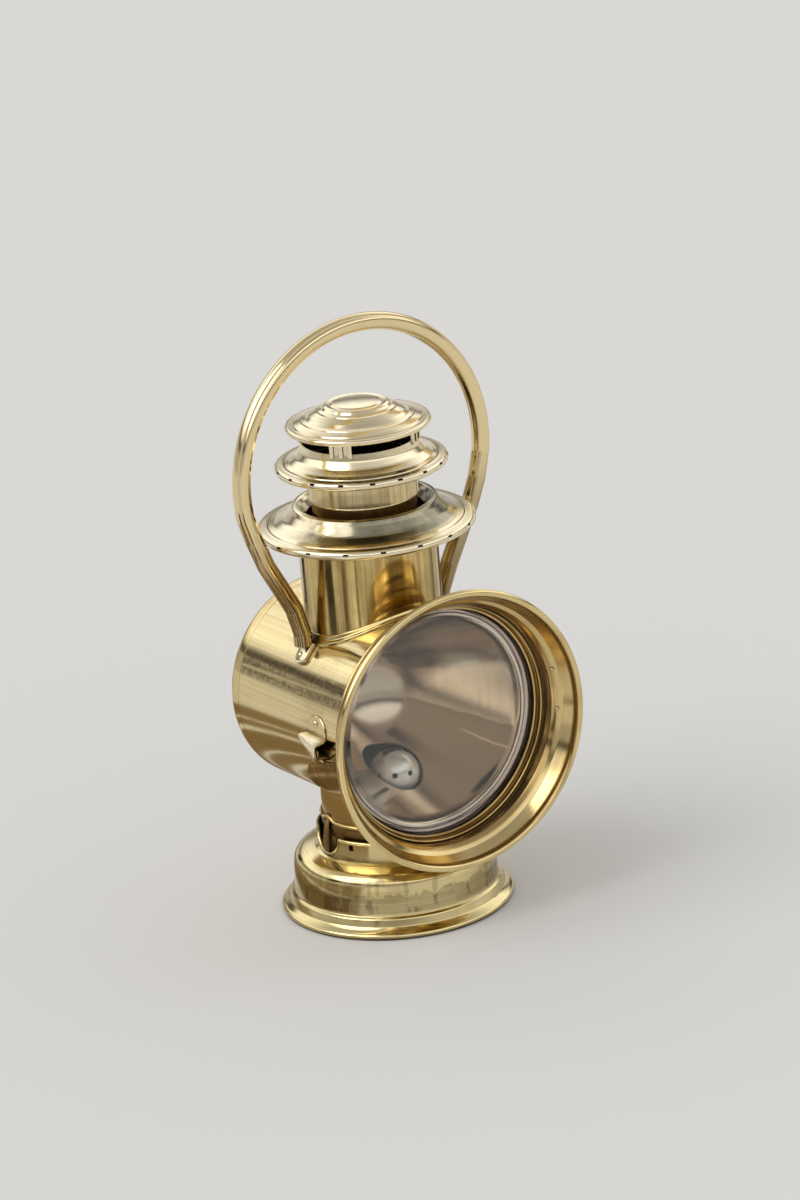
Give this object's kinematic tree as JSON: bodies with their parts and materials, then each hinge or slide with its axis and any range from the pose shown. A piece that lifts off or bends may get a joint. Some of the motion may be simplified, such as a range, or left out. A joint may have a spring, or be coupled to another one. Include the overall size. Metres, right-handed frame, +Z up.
{
  "type": "brass car oil side lamp",
  "caption": "Round oil side lamp of spun brass with a hinged bevelled-glass door, flared hood, capped chimney, carrying bail and a fount that drops out below.",
  "frame": {"origin": "on the fount's axis at the bottom of its foot", "axes": "+Z up through the fount and chimney, -Y the way the lamp looks, +X towards the hinge and the lamp iron's socket"},
  "size_m": [0.1679, 0.1267, 0.2953],
  "materials": {
    "brass": "polished, lightly tarnished",
    "aged_brass": "brown, heat tarnished",
    "nickel": "dull nickel plate",
    "silvered": "tarnished silver plate",
    "glass": "clear, bevelled edge",
    "wick": "woven cotton, charred at the tip"
  },
  "bodies": {
    "lamp_body": {"body_neck": "brass", "drum_shell": "brass", "back_cap": "brass", "front_ring": "brass", "reflector": "silvered", "chimney": "brass", "saddle_flange": "brass", "canopy": "brass", "flue": "aged_brass", "flue_collar": "brass", "middle_cap": "brass", "cap_posts": "brass", "top_cap": "brass", "hinge_drum_leaf": "brass", "hinge_pin": "aged_brass", "latch_keeper": "brass", "fount_catch": "aged_brass", "bail": "brass", "bail_pads": "brass", "socket_bracket": "brass", "clamp_screw": "brass"},
    "door": {"door_frame": "brass", "hood": "brass", "glass": "glass", "glass_ring": "brass", "hinge_door_leaf": "brass", "latch_leaf": "aged_brass"},
    "fount": {"fount_shell": "brass", "fount_floor": "brass", "burner_gallery": "aged_brass", "burner_body": "aged_brass", "burner_dome": "nickel", "wick": "wick"}
  },
  "joints": [
    {"name": "door_hinge", "type": "hinge", "parent": "lamp_body", "child": "door", "pos_m": [0.061, -0.043, 0.1036], "axis": [0, 0, 1], "range_deg": [0, 100]},
    {"name": "fount_drop", "type": "slide", "parent": "lamp_body", "child": "fount", "axis": [0, 0, -1], "range_m": [0, 0.045]}
  ]
}
